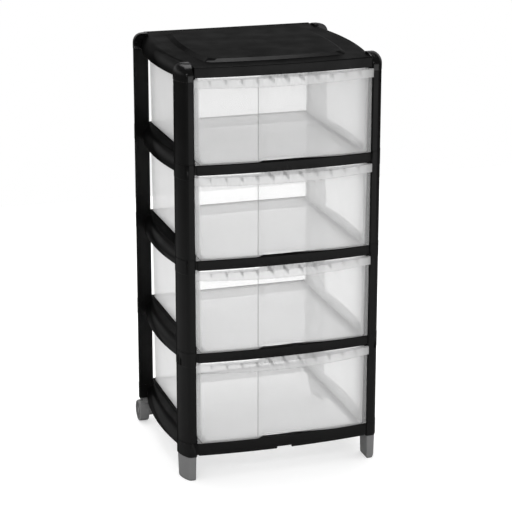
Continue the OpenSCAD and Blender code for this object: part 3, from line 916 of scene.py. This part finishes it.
@dataclass
class CastorWheel:
    """A grey castor wheel with a crowned tread, a dished outer face and a raised hub."""

    palette: Palette
    side: Side
    # The tread, which is highest in its middle
    radius: float = 21.8 * MM
    width: float = 18.6 * MM
    crown: float = 0.4 * MM
    shoulder: float = 1.6 * MM
    tread_steps: int = 8
    # The rounding from face to tread: how far in from the radius and how deep, in mm
    rounding_mm: tuple[Point, ...] = ((1.9, 0.0), (1.1, 0.25), (0.6, 0.8))
    # The outer face: hub, dish and rim, and the slopes between them
    bore_r: float = 3.2 * MM
    hub_r: float = 7 * MM
    hub_drop: float = 2.6 * MM
    dish: float = 6 * MM
    rim_w: float = 4.5 * MM
    soft: float = 0.6 * MM
    foot: float = 1.2 * MM
    lean: float = 0.5 * MM
    heel: float = 0.8 * MM
    flare: float = 0.7 * MM
    # The groove round the hub on the inner face
    groove_w: float = 3 * MM
    groove_d: float = 2 * MM
    steps: int = 96
    crease: float = 30.0

    def profile(self) -> list[Point]:
        """Draws the section of the wheel.

        Returns:
            Its corners in order, as radius and distance from the outer face.
        """
        out, hub, rim = self.radius, self.hub_r, self.radius - self.rim_w
        wide, steps = self.width, self.tread_steps
        face = [
            (self.bore_r, self.hub_drop), (hub - self.soft, self.hub_drop),
            (hub, self.hub_drop + self.soft), (hub + self.lean, self.dish - self.soft),
            (hub + self.foot, self.dish), (rim - self.foot, self.dish),
            (rim, self.dish - self.heel), (rim + self.flare, self.soft),
            (rim + 2 * self.flare, 0.0),
        ]
        corner = [(out - inward * MM, deep * MM) for inward, deep in self.rounding_mm]
        tread = [
            (out - self.crown * (2 * i / steps - 1) ** 2,
             self.shoulder + (wide - 2 * self.shoulder) * i / steps) for i in range(steps + 1)]
        far_corner = [(radius, wide - deep) for radius, deep in reversed(corner)]
        groove = wide - self.groove_d
        back = [
            (hub + self.groove_w, wide), (hub + self.groove_w, groove), (hub, groove),
            (hub, wide), (self.bore_r, wide),
        ]
        return face + corner + tread + far_corner + back

    def build(self) -> None:
        """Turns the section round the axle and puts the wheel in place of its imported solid."""
        node = f"castor_wheel_{self.side.name.lower()}"
        low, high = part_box(node)
        outer_x = low.x if self.side is Side.LEFT else high.x
        centre = (low + high) / 2
        profile = self.profile()
        bm = bmesh.new()
        rings = []
        for i in range(self.steps):
            turn = 2 * math.pi * i / self.steps
            rings.append([
                bm.verts.new((
                    outer_x - self.side.value * deep,
                    centre.y + radius * math.cos(turn),
                    centre.z + radius * math.sin(turn),
                ))
                for radius, deep in profile
            ])
        for ring, after in zip(rings, rings[1:] + rings[:1]):
            for j in range(len(ring)):
                k = (j + 1) % len(ring)
                bm.faces.new((ring[j], ring[k], after[k], after[j]))
        bmesh.ops.recalc_face_normals(bm, faces=bm.faces)
        piece = new_object(f"{node}_turned", bm)
        piece.data.materials.append(self.palette.get(GREY))
        smooth_by_angle(piece, self.crease)
        seat(piece, node, "grey_plastic", node)


# ---------------------------------------------------------------- studio


@dataclass(frozen=True)
class SoftLamp:
    """A rectangular soft lamp that points at the tower: width and height, and watts."""

    name: str
    place: Place
    size: Point
    watts: float

    def hang(self, target: Vector) -> None:
        """Hangs the lamp.

        Args:
            target: the point that it shines at.
        """
        data = bpy.data.lights.new(self.name, "AREA")
        data.shape = "RECTANGLE"
        data.size, data.size_y = self.size
        data.energy = self.watts
        lamp = bpy.data.objects.new(self.name, data)
        lamp.location = self.place
        way = target - Vector(self.place)
        lamp.rotation_euler = way.to_track_quat("-Z", "Y").to_euler()
        bpy.context.scene.collection.objects.link(lamp)


LAMPS = (
    SoftLamp("key_lamp", (-1.5, -2.5, 2.0), (0.5, 0.5), 17.0),
    SoftLamp("top_lamp", (0.1, 1.2, 2.6), (1.5, 1.5), 30.0),
    SoftLamp("low_lamp", (0.8, -2.7, 0.3), (2.2, 0.9), 13.0),
)


@dataclass(frozen=True)
class View:
    """The photograph's view, solved from the edges of the posts and rails.

    Angles are in degrees: yaw to the right, pitch downwards.
    """

    place: Place = (-1.08115, -3.40595, 1.49581)
    yaw: float = 18.34
    pitch: float = 16.293
    roll: float = 0.242
    lens: float = 135.585
    sensor: float = 36.0
    shift: Point = (-0.047, -0.07)
    clip: Point = (0.1, 60.0)

    def set_up(self) -> None:
        """Sets up the scene's camera."""
        data = bpy.data.cameras.new("camera")
        data.sensor_width, data.lens = self.sensor, self.lens
        data.shift_x, data.shift_y = self.shift
        data.clip_start, data.clip_end = self.clip
        camera = bpy.data.objects.new("camera", data)
        yaw, pitch, roll = (math.radians(a) for a in (self.yaw, self.pitch, self.roll))
        ahead = Vector((
            math.sin(yaw) * math.cos(pitch), math.cos(yaw) * math.cos(pitch), -math.sin(pitch)))
        across = Vector((math.cos(yaw), -math.sin(yaw), 0.0))
        over = across.cross(ahead)
        right = math.cos(roll) * across + math.sin(roll) * over
        up = math.cos(roll) * over - math.sin(roll) * across
        turn = Matrix((right, up, -ahead)).transposed().to_4x4()
        camera.matrix_world = Matrix.Translation(self.place) @ turn
        bpy.context.scene.collection.objects.link(camera)
        bpy.context.scene.camera = camera


@dataclass
class Studio:
    """Pale floor, soft lamps, white surroundings and the camera.

    The surroundings shine with `front_level` in front and rise to `back_level` on the side
    that `back_way` points to. Sheen sees only `sheen_level`, so the black plastic stays dark,
    and the white backdrop where it stands: behind the tower, from `foot_z` up to `head_z`.
    """

    target: Vector
    floor_size: float = 1.8
    floor_colour: str = "cccccc"
    floor_white: float = 0.5
    front_level: float = 0.85
    back_level: float = 1.4
    sheen_level: float = 0.14
    back_way: Place = (0.4, 0.92, 0.0)
    back_ends: Point = (-0.4, 0.6)
    behind_y: Point = (0.1, 0.5)
    foot_z: Point = (-0.12, 0.12)
    head_z: Point = (0.37, 0.25)

    def calculate(
        self,
        tree: bpy.types.NodeTree,
        operation: str,
        first: bpy.types.NodeSocket | float,
        second: bpy.types.NodeSocket | float,
    ) -> bpy.types.NodeSocket:
        """Adds a sum, product or the like of two values.

        Args:
            tree: the node tree to build in.
            operation: what to do, such as "MULTIPLY".
            first: the first value.
            second: the second value.

        Returns:
            The socket that gives the result.
        """
        return put(tree, "ShaderNodeMath", {0: first, 1: second}, operation=operation).outputs[0]

    def fade(
        self,
        tree: bpy.types.NodeTree,
        value: bpy.types.NodeSocket,
        ends: Point,
        levels: Point = (0.0, 1.0),
    ) -> bpy.types.NodeSocket:
        """Adds a level that changes smoothly while a value goes from one end to the other.

        Args:
            tree: the node tree to build in.
            value: the value.
            ends: where the change starts and ends.
            levels: the level at each end.

        Returns:
            The socket that gives the level.
        """
        return put(
            tree, "ShaderNodeMapRange",
            {"Value": value, "From Min": ends[0], "From Max": ends[1],
             "To Min": levels[0], "To Max": levels[1]}, interpolation_type="SMOOTHSTEP",
        ).outputs["Result"]

    def seen(
        self, tree: bpy.types.NodeTree, behind: bpy.types.NodeSocket | float,
    ) -> bpy.types.NodeSocket:
        """Tells how much a ray sees of the white backdrop.

        Args:
            tree: the node tree to build in.
            behind: how much of the backdrop lies that way, for the rays of a sheen.

        Returns:
            1 for what the camera sees, straight or through plastic, and the backdrop for sheen.
        """
        rays = put(tree, "ShaderNodeLightPath").outputs
        clear = self.calculate(tree, "MAXIMUM", rays["Is Camera Ray"], rays["Is Transmission Ray"])
        sheen = self.calculate(tree, "MULTIPLY", rays["Is Glossy Ray"], behind)
        return self.calculate(tree, "MAXIMUM", clear, sheen)

    def floor(self) -> None:
        """Lays the floor, which the camera sees as white with the tower's soft shadow."""
        bm = bmesh.new()
        bmesh.ops.create_grid(bm, x_segments=1, y_segments=1, size=self.floor_size)
        ground = new_object("floor", bm)
        material, tree = new_material("Studio_paper")
        paper = put(tree, "ShaderNodeBsdfDiffuse", {"Color": linear(self.floor_colour)})
        lift = self.calculate(tree, "MULTIPLY", self.seen(tree, 0.0), self.floor_white)
        white = put(tree, "ShaderNodeEmission", {"Color": linear("ffffff"), "Strength": lift})
        both = put(tree, "ShaderNodeAddShader", {0: paper.outputs[0], 1: white.outputs[0]})
        put(tree, "ShaderNodeOutputMaterial", {"Surface": both.outputs[0]})
        ground.data.materials.append(material)

    def world(self) -> None:
        """Surrounds the tower with light that grows towards the white backdrop behind it."""
        world = bpy.data.worlds.new("studio")
        bpy.context.scene.world = world
        world.use_nodes = True
        tree = world.node_tree
        tree.nodes.clear()
        ray = put(tree, "ShaderNodeTexCoord").outputs["Generated"]
        way = put(tree, "ShaderNodeSeparateXYZ", {0: ray}).outputs
        backwards = put(
            tree, "ShaderNodeVectorMath", {0: ray, 1: self.back_way}, operation="DOT_PRODUCT")
        glow = self.fade(
            tree, backwards.outputs["Value"], self.back_ends, (self.front_level, self.back_level))
        standing = self.calculate(
            tree, "MULTIPLY",
            self.fade(tree, way["Z"], self.foot_z), self.fade(tree, way["Z"], self.head_z))
        backdrop = self.fade(tree, way["Y"], self.behind_y)
        behind = self.calculate(tree, "MULTIPLY", backdrop, standing)
        glossy = put(tree, "ShaderNodeLightPath").outputs["Is Glossy Ray"]
        dim = put(
            tree, "ShaderNodeMix", {0: glossy, 2: glow, 3: self.sheen_level}, data_type="FLOAT")
        level = put(
            tree, "ShaderNodeMix", {0: self.seen(tree, behind), 2: dim.outputs[0], 3: 1.0},
            data_type="FLOAT")
        sky = put(
            tree, "ShaderNodeBackground",
            {"Color": linear("ffffff"), "Strength": level.outputs[0]})
        put(tree, "ShaderNodeOutputWorld", {"Surface": sky.outputs[0]})

    def build(self) -> None:
        """Builds the whole studio."""
        self.floor()
        self.world()
        for lamp in LAMPS:
            lamp.hang(self.target)
        View().set_up()
        bpy.context.scene.view_settings.view_transform = "Standard"


def main() -> None:
    """Builds the tower's pieces in order, and the studio round them."""
    logging.basicConfig(level=logging.INFO, format="%(name)s: %(message)s")
    palette = Palette()
    Mouldings(palette).dress_all()
    for number in range(1, DRAWERS + 1):
        Drawer(palette, number).build()
    for side in Side:
        CastorWheel(palette, side).build()
    Studio((cad_box[0] + cad_box[1]) / 2).build()


if __name__ == "__main__":
    main()
